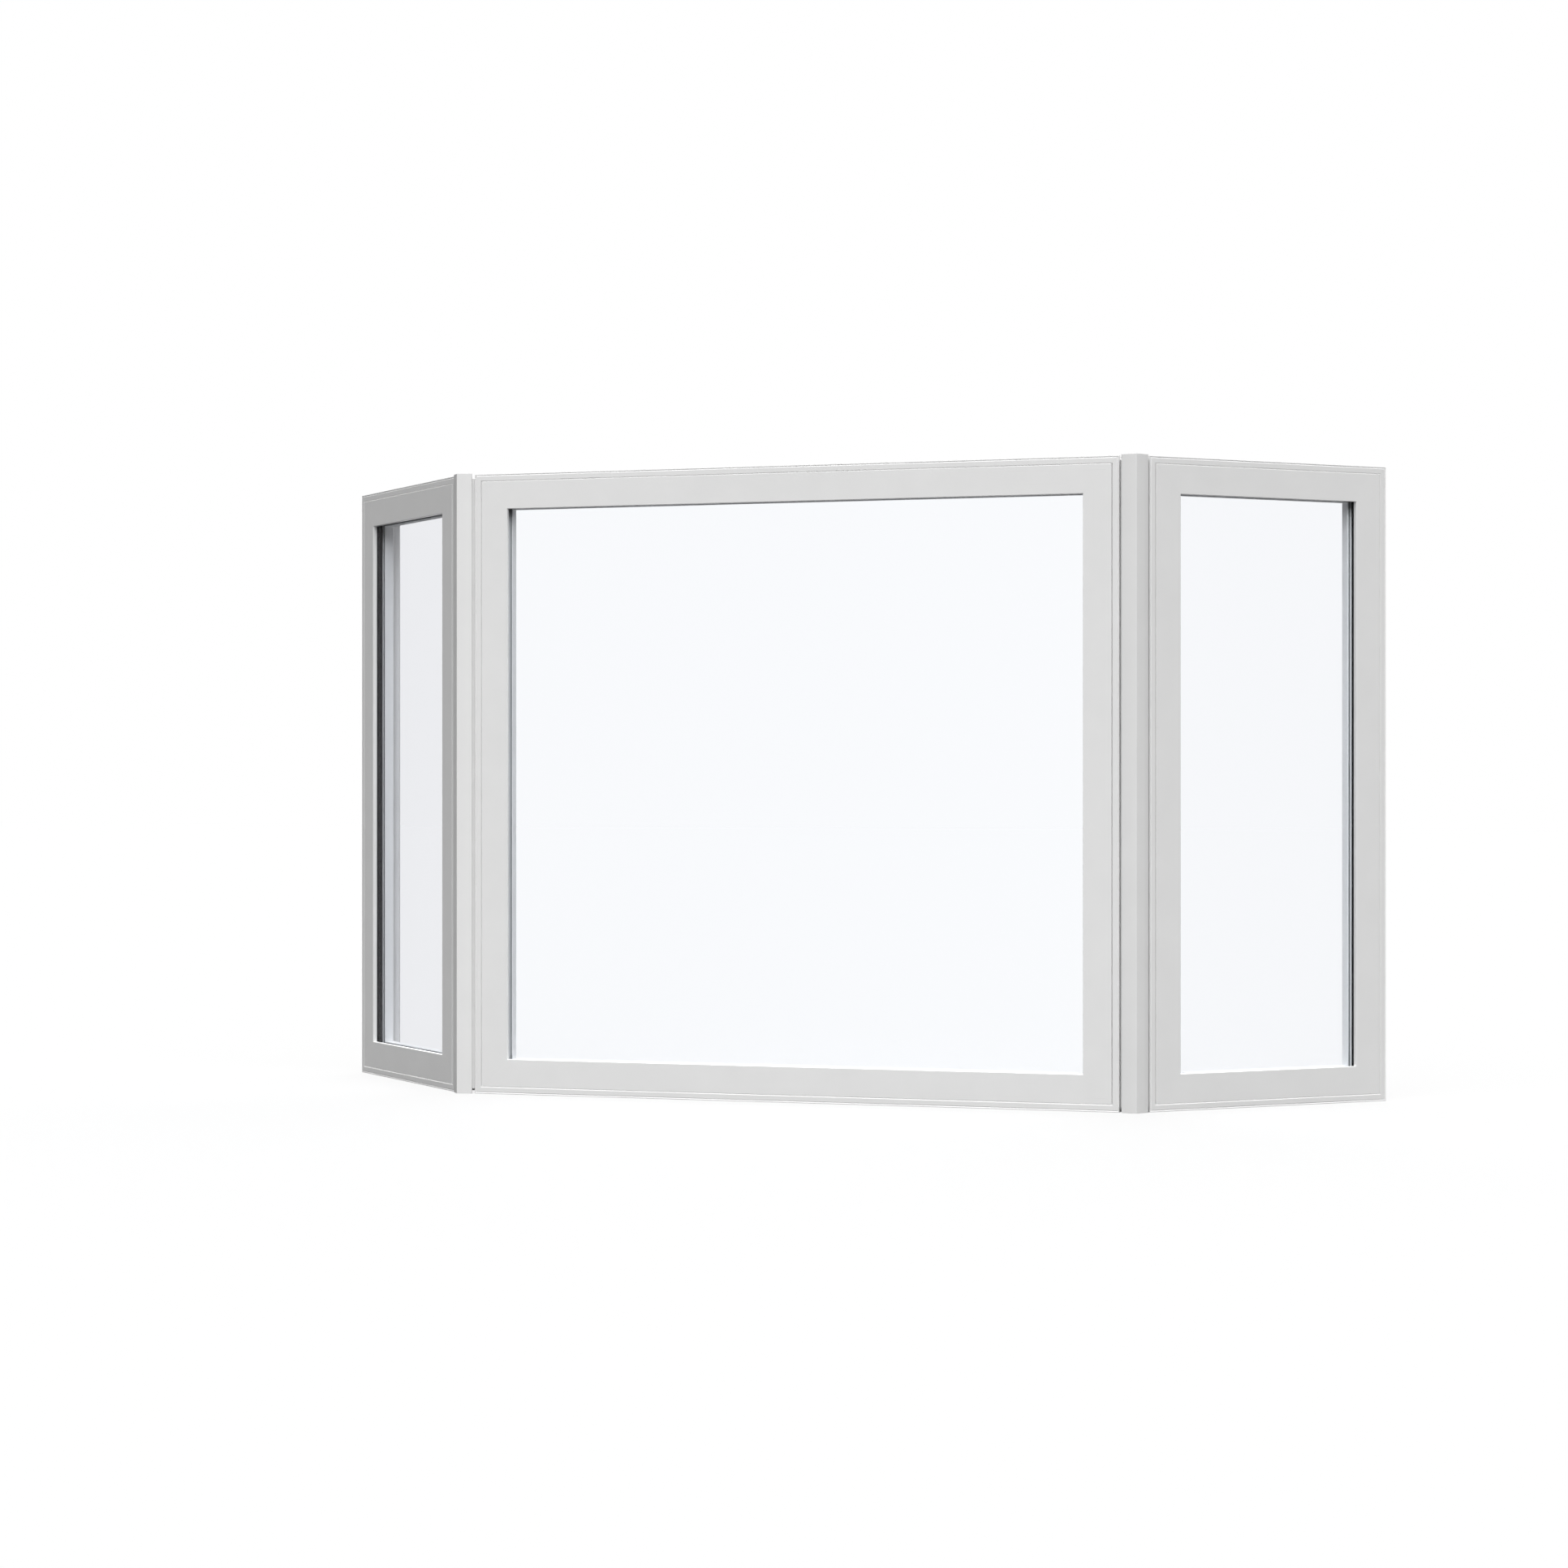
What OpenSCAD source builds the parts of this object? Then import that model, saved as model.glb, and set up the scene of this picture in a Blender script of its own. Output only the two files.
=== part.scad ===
// Three-sided bay window: a wide fixed unit, two side casements turned back from it,
// and a corner post in each of the two joints. X runs along the centre unit, Y into the
// room and Z up. The origin is the centre of the whole window's box, at its underside.

/* [Bay] */
// Height of every unit
unit_h = 1200; // [800:10:1800]
// Width of the centre unit
centre_w = 1276; // [600:1:2400]
// Width of each side unit
side_w = 528; // [350:1:1200]
// Angle by which each side unit turns back from the centre unit
turn = 45; // [30:1:60]
// Space between the two frames' back corners in a joint
back_gap = 1.5; // [1:0.1:6]

/* [Outer frame] */
// Depth of the frame, from outside to room
frame_depth = 70; // [64:1:100]
// Width of the lip that shows round the sash
lip_w = 12.4; // [8:0.2:30]
// Depth from the front of the lip to the shelf behind the sash's flange
shelf_depth = 4.3; // [3:0.1:7]
// Width of the frame's outer leg, behind the lip
leg_w = 20.4; // [14:0.2:36]
// Thickness of the inner stop that the sash closes against
stop_t = 18; // [10:1:24]
// Width of the frame on the room side
stop_w = 49; // [42:0.5:51]
// Chamfer along the room-side edge of the stop
stop_chamfer = 3; // [1:0.5:6]
// Width of the rim outside the shadow groove
rim_w = 1.4; // [1:0.1:4]
// Width of the shadow groove in the lip
groove_w = 2.4; // [1:0.1:4]
// Depth of the shadow groove in the lip
groove_d = 1.2; // [0.5:0.1:2]
// Depth of the fixing channel round the frame's outside
channel_d = 2.5; // [1:0.1:4]
// Setback of the fixing channel from each face of the frame
channel_setback = 24; // [18:1:28]

/* [Sash] */
// Gap between the lip and the sash's face
sash_gap = 1.8; // [1:0.1:4]
// Width of the sash's face
sash_w = 53.6; // [44:0.2:80]
// Thickness of the flange round the sash
flange_t = 4; // [2.5:0.1:6]
// Chamfer along the outer edge of the sash's face
sash_chamfer = 1; // [0.5:0.1:2]
// Clearance between the sash's body and the frame's leg
body_gap = 2; // [1:0.1:4]
// Thickness of the weather seal between the sash and the stop
seal_t = 1.7; // [1:0.1:4]
// Width of the weather seal
seal_w = 7; // [4:0.5:10]

/* [Glazing] */
// Depth of the step from the sash's face to the glass
reveal_d = 8.3; // [6:0.1:14]
// Thickness of each pane
pane_t = 4; // [3:0.5:6]
// Width of the cavity between the panes
cavity = 11.1; // [8:0.1:12]
// Depth by which the glass reaches behind the sash's edge
glass_bite = 12; // [10:0.5:16]
// Space between the glass's edge and the bottom of its rebate
rebate_gap = 2; // [1:0.1:3]
// Width of the spacer bar between the panes
spacer_w = 6; // [4:0.5:8]
// Thickness of the inner glazing gasket
gasket_t = 1.9; // [1:0.1:4]
// Setback of the inner gasket from the sash's edge
gasket_setback = 2.1; // [1:0.1:4]
// Setback of the glazing beads from the sash's edge
bead_setback = 0.6; // [0.2:0.1:2]
// Chamfer along the room-side edge of the beads
bead_chamfer = 3; // [1:0.5:6]
// Open hairline between two beads at their mitre
bead_joint = 0.3; // [0.2:0.1:1]

/* [Corner posts] */
// Gap between the post's cover and the lip beside it
post_gap = 3.6; // [2:0.1:6]
// Distance that the ridge stands in front of the meeting point of the two faces
nose_proud = 9.8; // [4:0.1:20]
// Slope of the cover's face beside the ridge
ridge_slope = 29; // [20:1:32]
// Slope of the cover's face at its outer edges
edge_slope = 37; // [33:1:45]
// Depth of the edges at each side of the cover's face
face_edge = 2; // [1:0.5:4]
// Length over which the sides of the clip behind the face flare
flare_l = 7.3; // [4:0.1:8]
// Height by which the clip stops short of each end of the face
clip_short = 9.3; // [1:0.1:20]
// Height by which each post stands above the frames
post_rise = 2; // [0:0.5:10]
// Height by which the post's core stops short at each end
core_short = 5; // [2:1:20]
// Width of each leg of the trim on the room side
trim_leg = 24; // [16:1:32]
// Thickness of the trim on the room side
trim_t = 3; // [2:0.5:5]

/* [Handles] */
// Height of each handle's centre above the underside
handle_z = 600; // [300:10:900]
// Length of the plate under the handle
plate_l = 96; // [70:2:140]
// Width of the plate
plate_w = 15; // [12:1:16]
// Thickness of the plate
plate_t = 6; // [3:0.5:8]
// Diameter of the neck
neck_d = 12; // [8:1:12]
// Clearance between the lever and the room-side face of the frame
lever_clear = 12; // [6:1:30]
// Length of the lever, from the neck's centre
lever_l = 112; // [80:2:150]
// Width of the lever at its tip
lever_w = 17; // [14:1:22]
// Thickness of the lever
lever_t = 8; // [5:0.5:12]

/* [Hidden] */
// Clearance between pieces that slide together on assembly
fit = 0.3;
// Straight pieces in each curved half of the post's nose
NOSE_STEPS = 6;
// Distance by which a cutting shape runs past what it cuts
OVER = 1;
// Sides of a turned shape
ROUND = 48;

WHITE = "#dcdcdc";
SASH_WHITE = "#e0e0e0";
BLACK = "#28282a";
SEAL_GREY = "#45474b";
METAL = "#d4d4d4";
GLASS_TINT = [0.95, 0.97, 1, 0.3];

// distances from a unit's outside edge towards its middle
sash_edge = lip_w + sash_gap;
sight = sash_edge + sash_w;
glass_edge = sight - glass_bite;
rebate = glass_edge - rebate_gap;
body_edge = leg_w + body_gap;
bead_edge = sight - bead_setback;

// depths behind the front face
stop_front = frame_depth - stop_t;
sash_back = stop_front - seal_t;
inner_pane = reveal_d + pane_t + cavity;
glass_back = inner_pane + pane_t;
bead_front = glass_back + gasket_t;

// the joint between two units: x across the joint, y into the room along its bisector
half = turn / 2;
corner_offset = frame_depth * tan(half) + back_gap;
corner_x = centre_w / 2 + corner_offset;
mouth_x = corner_offset * cos(half);
mouth_y = corner_offset * sin(half);
nose_x = mouth_x - post_gap;
cover_back = mouth_y + (post_gap - fit / cos(half)) / tan(half);
core_back = frame_depth / cos(half) - fit;

// the whole window's box
box_front = -nose_proud * cos(half);
box_back = (corner_offset + side_w) * sin(turn) + frame_depth * cos(turn);
box_middle = (box_front + box_back) / 2;

UNITS = ["left", "centre", "right"];
UNIT_PIECES = [
    "frame_head", "frame_sill", "frame_left_jamb", "frame_right_jamb",
    "sash_top_rail", "sash_bottom_rail", "sash_left_stile", "sash_right_stile",
    "glass_panes", "spacer_bar", "gaskets", "glazing_beads"
];
SIDES = ["left", "right"];
SIDE_PIECES = ["post_cover", "post_core", "post_inner_trim", "handle"];

function unit_width(u) = u == "centre" ? centre_w : side_w;
function sign_of(side) = side == "left" ? -1 : 1;

// Sections, as [depth behind the front face, distance from the outside edge]
frame_section = [
    [0, 0],
    [0, rim_w],
    [groove_d, rim_w + groove_w / 2],
    [0, rim_w + groove_w],
    [0, lip_w],
    [shelf_depth, lip_w],
    [shelf_depth, leg_w],
    [stop_front, leg_w],
    [stop_front, stop_w],
    [frame_depth - stop_chamfer, stop_w],
    [frame_depth, stop_w - stop_chamfer],
    [frame_depth, 0],
    [frame_depth - channel_setback / 2, 0],
    [frame_depth - channel_setback / 2, channel_d],
    [channel_setback, channel_d],
    [channel_setback, 0]
];
sash_section = [
    [0, sash_edge + sash_chamfer],
    [0, sight],
    [reveal_d, sight],
    [reveal_d, rebate],
    [sash_back, rebate],
    [sash_back, body_edge],
    [flange_t, body_edge],
    [flange_t, sash_edge],
    [sash_chamfer, sash_edge]
];
bead_section = [
    [bead_front, rebate],
    [bead_front, bead_edge],
    [sash_back - bead_chamfer, bead_edge],
    [sash_back, bead_edge - bead_chamfer],
    [sash_back, rebate]
];

// A straight bar of a section, length l along X, its outside edge on z = 0, with both
// ends mitred at 45 degrees. cut is the bar's width, and slack opens each mitre.
module mitred_bar(section, l, cut, slack = 0) {
    intersection() {
        rotate([90, 0, 90])
            linear_extrude(height = l) polygon(section);
        translate([0, frame_depth + OVER, 0])
            rotate([90, 0, 0])
                linear_extrude(height = frame_depth + 2 * OVER)
                    polygon([[slack, 0], [l - slack, 0], [l - cut - slack, cut], [cut + slack, cut]]);
    }
}

// The four places of a bar round a unit w wide
module at_sill() children();
module at_head() translate([0, 0, unit_h]) mirror([0, 0, 1]) children();
module at_left() mirror([1, 0, 0]) rotate([0, -90, 0]) children();
module at_right(w) translate([w, 0, 0]) rotate([0, -90, 0]) children();

// A ring w wide and unit_h high, from depth front to depth back, between two distances
// from the unit's outside edge
module ring(w, front, back, outer, inner) {
    translate([0, back, 0])
        rotate([90, 0, 0])
            linear_extrude(height = back - front)
                difference() {
                    translate([outer, outer]) square([w - 2 * outer, unit_h - 2 * outer]);
                    translate([inner, inner]) square([w - 2 * inner, unit_h - 2 * inner]);
                }
}

module frame_bar(l) color(WHITE) mitred_bar(frame_section, l, stop_w);
module sash_bar(l) color(SASH_WHITE) mitred_bar(sash_section, l, sight);
module bead_bar(l) mitred_bar(bead_section, l, bead_edge, bead_joint / 2);

module frame_head(w) at_head() frame_bar(w);
module frame_sill(w) at_sill() frame_bar(w);
module frame_left_jamb(w) at_left() frame_bar(unit_h);
module frame_right_jamb(w) at_right(w) frame_bar(unit_h);

module sash_top_rail(w) at_head() sash_bar(w);
module sash_bottom_rail(w) at_sill() sash_bar(w);
module sash_left_stile(w) at_left() sash_bar(unit_h);
module sash_right_stile(w) at_right(w) sash_bar(unit_h);

// Two panes with a sealed cavity between them
module glass_panes(w) {
    color(GLASS_TINT)
        for (front = [reveal_d, inner_pane])
            translate([glass_edge, front, glass_edge])
                cube([w - 2 * glass_edge, pane_t, unit_h - 2 * glass_edge]);
}

module spacer_bar(w) {
    color(BLACK)
        ring(w, reveal_d + pane_t, inner_pane, glass_edge, glass_edge + spacer_w);
}

// The inner glazing gasket, and the weather seal between the sash and the stop
module gaskets(w) {
    color(SEAL_GREY) {
        ring(w, glass_back, bead_front, glass_edge, sight - gasket_setback);
        ring(w, sash_back, stop_front, stop_w - fit - seal_w, stop_w - fit);
    }
}

module glazing_beads(w) {
    color(SASH_WHITE) {
        at_head() bead_bar(w);
        at_sill() bead_bar(w);
        at_left() bead_bar(unit_h);
        at_right(w) bead_bar(unit_h);
    }
}

// One curved half of the post's nose, from the ridge outwards
nose_radius = nose_x / (sin(edge_slope) - sin(ridge_slope));
nose_half = [
    for (i = [0 : NOSE_STEPS])
        let (slope = ridge_slope + (edge_slope - ridge_slope) * i / NOSE_STEPS)
            [nose_radius * (sin(slope) - sin(ridge_slope)),
             nose_radius * (cos(ridge_slope) - cos(slope)) - nose_proud]
];
nose_mirrored = [for (i = [NOSE_STEPS : -1 : 1]) [-nose_half[i][0], nose_half[i][1]]];
nose_edge = nose_half[NOSE_STEPS][1];

// The post's face, and the shorter clip behind it whose sides flare by half the turn
module post_cover() {
    cover_h = unit_h + post_rise;
    face_back = nose_edge + face_edge;
    clip_front = nose_edge + face_edge / 2;
    clip_x = nose_x - flare_l * tan(half);
    knee = clip_front + flare_l;
    color(WHITE)
        union() {
            linear_extrude(height = cover_h)
                polygon(concat(nose_half, [[nose_x, face_back], [-nose_x, face_back]], nose_mirrored));
            translate([0, 0, clip_short])
                linear_extrude(height = cover_h - 2 * clip_short)
                    polygon([
                        [-clip_x, clip_front], [clip_x, clip_front], [nose_x, knee],
                        [nose_x, cover_back], [-nose_x, cover_back], [-nose_x, knee]
                    ]);
        }
}

// Half of the width between the two frames at distance y into the joint
function wedge_x(y) = mouth_x - (y - mouth_y) * tan(half) - fit / cos(half);

module post_core() {
    color(WHITE)
        translate([0, 0, core_short])
            linear_extrude(height = unit_h - 2 * core_short)
                polygon([
                    [-wedge_x(cover_back), cover_back], [wedge_x(cover_back), cover_back],
                    [wedge_x(core_back), core_back], [-wedge_x(core_back), core_back]
                ]);
}

// A chevron that lies on the room-side faces of both frames
module post_inner_trim() {
    seat = frame_depth / cos(half);
    rise = trim_t / cos(half);
    leg = [trim_leg * cos(half), trim_leg * sin(half)];
    out = [trim_t * sin(half), trim_t * cos(half)];
    color(WHITE)
        linear_extrude(height = unit_h)
            polygon([
                [0, seat], [leg[0], seat + leg[1]], [leg[0] - out[0], seat + leg[1] + out[1]],
                [0, seat + rise],
                [out[0] - leg[0], seat + leg[1] + out[1]], [-leg[0], seat + leg[1]]
            ]);
}

// A disc or rod of diameter d, from depth front for length l, at height z
module boss(d, front, l, z) {
    translate([0, front, z]) rotate([-90, 0, 0]) cylinder(d = d, h = l, $fn = ROUND);
}

// The lever handle, centred on x = 0, on the room side of a stile
module handle() {
    lever_front = frame_depth + lever_clear;
    plate_half = (plate_l - plate_w) / 2;
    color(METAL)
        union() {
            translate([-plate_w / 2, sash_back, handle_z - plate_half])
                cube([plate_w, plate_t, 2 * plate_half]);
            for (end = [-1, 1])
                boss(plate_w, sash_back, plate_t, handle_z + end * plate_half);
            boss(neck_d, sash_back, lever_front + lever_t / 2 - sash_back, handle_z);
            boss(neck_d + 2, lever_front, lever_t, handle_z);
            boss(lever_w, lever_front, lever_t, handle_z - lever_l + lever_w / 2);
            translate([0, lever_front + lever_t, handle_z])
                rotate([90, 0, 0])
                    linear_extrude(height = lever_t)
                        polygon([
                            [-neck_d / 2, 0], [neck_d / 2, 0],
                            [lever_w / 2, lever_w / 2 - lever_l], [-lever_w / 2, lever_w / 2 - lever_l]
                        ]);
        }
}

// Places a unit: its own x runs from its left edge, seen from outside, to its right edge
module in_unit(u) {
    translate([0, -box_middle, 0])
        if (u == "centre")
            translate([-centre_w / 2, 0, 0]) children();
        else if (u == "right")
            translate([corner_x, 0, 0]) rotate([0, 0, turn]) translate([corner_offset, 0, 0]) children();
        else
            translate([-corner_x, 0, 0]) rotate([0, 0, -turn])
                translate([-corner_offset - side_w, 0, 0]) children();
}

// Places a joint's pieces, or a side unit's handle on the stile beside the post
module in_joint(side) {
    translate([sign_of(side) * corner_x, -box_middle, 0])
        rotate([0, 0, sign_of(side) * half]) children();
}
module on_lock_stile(side) {
    from_edge = (stop_w + bead_edge - bead_chamfer) / 2;
    in_unit(side) translate([side == "left" ? side_w - from_edge : from_edge, 0, 0]) children();
}

for (u = UNITS) {
    w = unit_width(u);
    in_unit(u) frame_head(w);
    in_unit(u) frame_sill(w);
    in_unit(u) frame_left_jamb(w);
    in_unit(u) frame_right_jamb(w);
    in_unit(u) sash_top_rail(w);
    in_unit(u) sash_bottom_rail(w);
    in_unit(u) sash_left_stile(w);
    in_unit(u) sash_right_stile(w);
    in_unit(u) glass_panes(w);
    in_unit(u) spacer_bar(w);
    in_unit(u) gaskets(w);
    in_unit(u) glazing_beads(w);
}
for (s = SIDES) {
    in_joint(s) post_cover();
    in_joint(s) post_core();
    in_joint(s) post_inner_trim();
    on_lock_stile(s) handle();
}
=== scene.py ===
# %% [markdown]
# # A three-sided bay window in white plastic profile
# A bay window of this kind is three glazed frames stood side by side: a wide one that does
# not open, and two casements turned back from it. Two corner posts cover the joints. The
# CAD model already holds every piece at its real size, with sharp edges. This lesson gives
# the pieces the small roundings and the finishes that the real extrusions have.
# Everything is in metres, and every place is measured from the CAD model.

# %% Load the CAD model
import math

import bmesh
import bpy
import numpy as np
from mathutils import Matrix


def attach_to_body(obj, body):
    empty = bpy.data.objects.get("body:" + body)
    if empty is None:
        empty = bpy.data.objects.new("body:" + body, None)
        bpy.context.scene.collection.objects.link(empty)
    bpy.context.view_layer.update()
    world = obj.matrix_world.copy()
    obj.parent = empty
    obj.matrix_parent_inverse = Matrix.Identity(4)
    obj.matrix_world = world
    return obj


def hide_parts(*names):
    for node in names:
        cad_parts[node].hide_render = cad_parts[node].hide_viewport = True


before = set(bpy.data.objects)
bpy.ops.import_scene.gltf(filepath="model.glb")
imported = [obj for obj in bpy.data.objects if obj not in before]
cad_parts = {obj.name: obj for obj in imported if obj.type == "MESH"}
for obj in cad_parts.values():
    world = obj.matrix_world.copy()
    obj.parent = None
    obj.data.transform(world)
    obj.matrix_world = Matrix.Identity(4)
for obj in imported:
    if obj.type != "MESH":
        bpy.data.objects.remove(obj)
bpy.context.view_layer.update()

MM = 0.001

# %% [markdown]
# ## Where each frame stands
# Each frame is easiest to describe in its own directions: across it, inwards from its front
# face, and up. The sill tells us those directions, because a long bar spreads most along
# its own length. That direction is the strongest eigenvector of its points' covariance. A
# typed angle would do too, but this one follows the CAD model if its angle is changed.

# %% Directions and places of the three frames
UP = np.array([0.0, 0.0, 1.0])
UNITS = ("left", "centre", "right")
SIDES = ("left", "right")


def node_points(node):
    """The separate corner points of a CAD node, rounded to a hundredth of a millimetre."""
    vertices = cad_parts[node].data.vertices
    flat = np.empty(len(vertices) * 3)
    vertices.foreach_get("co", flat)
    return np.unique(flat.reshape(-1, 3).round(5), axis=0)


def axes_from(points):
    """Directions across and inwards: across is the plan direction of greatest spread, taken
    with x positive, and inwards is across turned 90 degrees to the left."""
    vectors = np.linalg.eigh(np.cov(points[:, :2].T))[1]
    across = vectors[:, -1] * np.sign(vectors[0, -1])
    return np.array([*across, 0.0]), np.array([-across[1], across[0], 0.0])


def span(points, axes):
    """Lowest and highest distance of the points along across, inwards and up."""
    measured = np.stack([points @ axes["across"], points @ axes["inwards"], points[:, 2]], axis=1)
    measured -= axes["zero"]
    return measured.min(0), measured.max(0)


def measured_axes(node):
    """A node's own directions, with their zero at its lowest corner."""
    points = node_points(node)
    across, inwards = axes_from(points)
    axes = {"across": across, "inwards": inwards, "zero": np.zeros(3)}
    axes["zero"] = span(points, axes)[0]
    return axes


def place(axes, x, depth, z):
    """Own distances to the shared frame: (x + x0) across + (depth + d0) inwards + z up."""
    x, depth, z = np.broadcast_arrays(x, depth, z)
    x0, d0, z0 = axes["zero"]
    return ((x + x0)[..., None] * axes["across"]
            + (depth + d0)[..., None] * axes["inwards"]
            + (z + z0)[..., None] * UP)


units = {name: measured_axes(f"{name}_frame_sill") for name in UNITS}
for name, unit in units.items():
    unit["w"] = span(node_points(f"{name}_frame_sill"), unit)[1][0]
    unit["h"] = span(node_points(f"{name}_frame_head"), unit)[1][2]
    unit["turn"] = math.atan2(unit["across"][1], unit["across"][0])
    print(f"{name}: {unit['w']:.4f} wide, {unit['h']:.4f} high, turned {math.degrees(unit['turn']):.2f}")
half_turn = units["right"]["turn"] / 2

# %% [markdown]
# ## A skin over rings of points
# Bars, posts, gaskets and handles are all one kind of surface: a closed outline that is
# carried along a path. The points make a grid, ring by ring, so the faces follow from
# counting alone, and numpy works out all of them at once. Each surface also gets a UV map
# in metres, along the bar and round its outline, because an extruded bar's faint marks run
# along it whichever way it points.

# %% The skin
def skin_faces(stations, count, loop):
    """Quad (i, j) joins points j and j + 1 of ring i to the same points of ring i + 1. The
    last point is followed by the first. With loop, so is the last ring."""
    i = np.arange(stations if loop else stations - 1)[:, None]
    j = np.arange(count)[None, :]
    following_i, following_j = (i + 1) % stations, (j + 1) % count
    corners = (i * count + j, i * count + following_j,
               following_i * count + following_j, following_i * count + j)
    return np.stack(corners, axis=-1).reshape(-1, 4)


def skin_uv(rings, loop):
    """u is the distance run from the first ring, and v the distance round the middle ring."""
    closed = np.concatenate([rings, rings[:, :1]], axis=1)
    if loop:
        closed = np.concatenate([closed, closed[:1]], axis=0)
    steps = np.linalg.norm(np.diff(closed, axis=0), axis=2)
    along = np.concatenate([np.zeros((1, closed.shape[1])), np.cumsum(steps, axis=0)])
    middle = closed[len(closed) // 2]
    around = np.concatenate([[0.0], np.cumsum(np.linalg.norm(np.diff(middle, axis=0), axis=1))])
    grid = np.stack([along, np.broadcast_to(around, along.shape)], axis=-1)
    return np.stack([grid[:-1, :-1], grid[:-1, 1:], grid[1:, 1:], grid[1:, :-1]], axis=2)


def skin(name, shapes, loop=False, sharp=40.0):
    """One mesh object over several stacks of rings. rings[i, j] is point j of ring i. A
    stack's two ends are closed by flat faces, unless it runs round in a loop."""
    points, faces, uv, first = [], [], [], 0
    for rings in shapes:
        stations, count = rings.shape[:2]
        points.append(rings.reshape(-1, 3))
        faces += (skin_faces(stations, count, loop) + first).tolist()
        uv.append(skin_uv(rings, loop).reshape(-1, 2))
        if not loop:
            last = first + (stations - 1) * count
            faces += [list(range(first + count - 1, first - 1, -1)), list(range(last, last + count))]
            uv.append(np.zeros((2 * count, 2)))
        first += stations * count
    mesh = bpy.data.meshes.new(name)
    mesh.from_pydata(np.concatenate(points).tolist(), [], faces)
    mesh.uv_layers.new(name="profile").data.foreach_set("uv", np.concatenate(uv).ravel())
    face_outwards(mesh)
    mesh.polygons.foreach_set("use_smooth", np.ones(len(mesh.polygons), bool))
    mesh.set_sharp_from_angle(angle=math.radians(sharp))
    piece = bpy.data.objects.new(name, mesh)
    bpy.context.scene.collection.objects.link(piece)
    weighted = piece.modifiers.new("flat faces stay flat", "WEIGHTED_NORMAL")
    weighted.keep_sharp = True
    return piece


def face_outwards(mesh):
    """Turns each closed shell's faces to point out of it."""
    shell = bmesh.new()
    shell.from_mesh(mesh)
    bmesh.ops.recalc_face_normals(shell, faces=shell.faces)
    shell.to_mesh(mesh)
    shell.free()


# %% [markdown]
# ## Rounded corners
# No plastic profile has a sharp edge: the die leaves a radius of half a millimetre or so,
# and that thin rounding is what catches the light. A Bevel modifier could add it, but the
# outline is flat, so it is simpler to round its corners before it is carried along.

# %% Rounding an outline
def rounded(corners, radius, steps=5):
    """A closed outline with its corners rounded. Each arc touches its corner's two sides at
    r / tan(a) from the corner, where a is half the corner's angle, and its centre lies on
    the bisector at r / sin(a). A corner of radius 0 stays one point."""
    corner = np.asarray(corners, float)
    back = unit_rows(np.roll(corner, 1, axis=0) - corner)
    ahead = unit_rows(np.roll(corner, -1, axis=0) - corner)
    angle = np.arccos(np.clip((back * ahead).sum(1), -1, 1)) / 2
    radius = np.broadcast_to(radius, angle.shape).astype(float)
    reach = (radius / np.tan(angle))[:, None]
    centre = corner + unit_rows(back + ahead) * (radius / np.sin(angle))[:, None]
    sweep = (np.pi - 2 * angle)[:, None]
    t = np.linspace(0, 1, steps)
    from_start = np.sin((1 - t) * sweep) / np.sin(sweep)
    from_end = np.sin(t * sweep) / np.sin(sweep)
    arcs = (centre[:, None]
            + (corner + back * reach - centre)[:, None] * from_start[..., None]
            + (corner + ahead * reach - centre)[:, None] * from_end[..., None])
    keep = np.ones(arcs.shape[:2], bool)
    keep[radius == 0, 1:] = False
    return arcs[keep]


def unit_rows(rows):
    """Each row divided by its length."""
    return rows / np.linalg.norm(rows, axis=1, keepdims=True)


# %% [markdown]
# ## Sizes of the sections
# The frame, the sash that closes into it and the bead that holds the glass are three
# sections of one family. Their main sizes are read from the CAD nodes. The small steps
# that no box can tell, such as the shadow groove in the lip, are named here. They could be
# typed into each outline, but named once they keep the outlines in step with each other.

# %% Sizes
centre = units["centre"]
frame_hi = span(node_points("centre_frame_sill"), centre)[1]
sash_lo, sash_hi = span(node_points("centre_sash_bottom_rail"), centre)
pane_lo, pane_hi = span(node_points("centre_glass_panes"), centre)
bead_lo = span(node_points("centre_glazing_beads"), centre)[0]
seal_lo, seal_hi = span(node_points("centre_gaskets"), centre)
depth = frame_hi[1]         # depth of the frame
stop_w = frame_hi[2]        # width of the frame on the room side
stop_front = seal_hi[1]     # depth at which the inner stop begins
sash_edge = sash_lo[2]      # where the sash begins, from the frame's outside edge
sight = sash_hi[2]          # where the sash ends and the glass shows
sash_back = sash_hi[1]      # depth of the sash's room-side face
glass_front = pane_lo[1]    # depth of the outer pane's face
glass_back = pane_hi[1]     # depth of the inner pane's back
rebate = bead_lo[2]         # bottom of the rebate that holds the glass
bead_front = bead_lo[1]     # depth at which the bead begins
rim_w = 1.4 * MM            # the frame's outermost rim, before the shadow groove
groove_w = 2.4 * MM         # width of the shadow groove in the frame's lip
groove_d = 1.2 * MM         # depth of that groove
lip_w = sash_edge - 1.8 * MM        # where the lip ends and the step to the sash begins
slope_d = 3.0 * MM                  # how deep the floor of that step slopes
slope_edge = sash_edge - 0.15 * MM  # where the slope ends, just short of the sash
shelf_depth = 4.3 * MM      # depth of the shelf that the sash's flange lies on
leg_w = 20.4 * MM           # thickness of the frame beside the sash
stop_chamfer = 3 * MM       # chamfer on the frame's room-side edge
channel_front = 24 * MM     # where the fixing channel round the frame begins
channel_d = 2.5 * MM        # depth of the fixing channel
channel_back = depth - channel_front / 2
flange_t = 4 * MM           # thickness of the sash's front flange
body_edge = 22.4 * MM       # where the sash's body begins, behind its flange
sash_chamfer = 0.5 * MM     # chamfer on the flange's front edge
bead_edge = sight - 0.6 * MM        # the beads stand back a little from the sash's edge
bead_chamfer = 3 * MM       # chamfer on the bead's room-side edge
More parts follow.
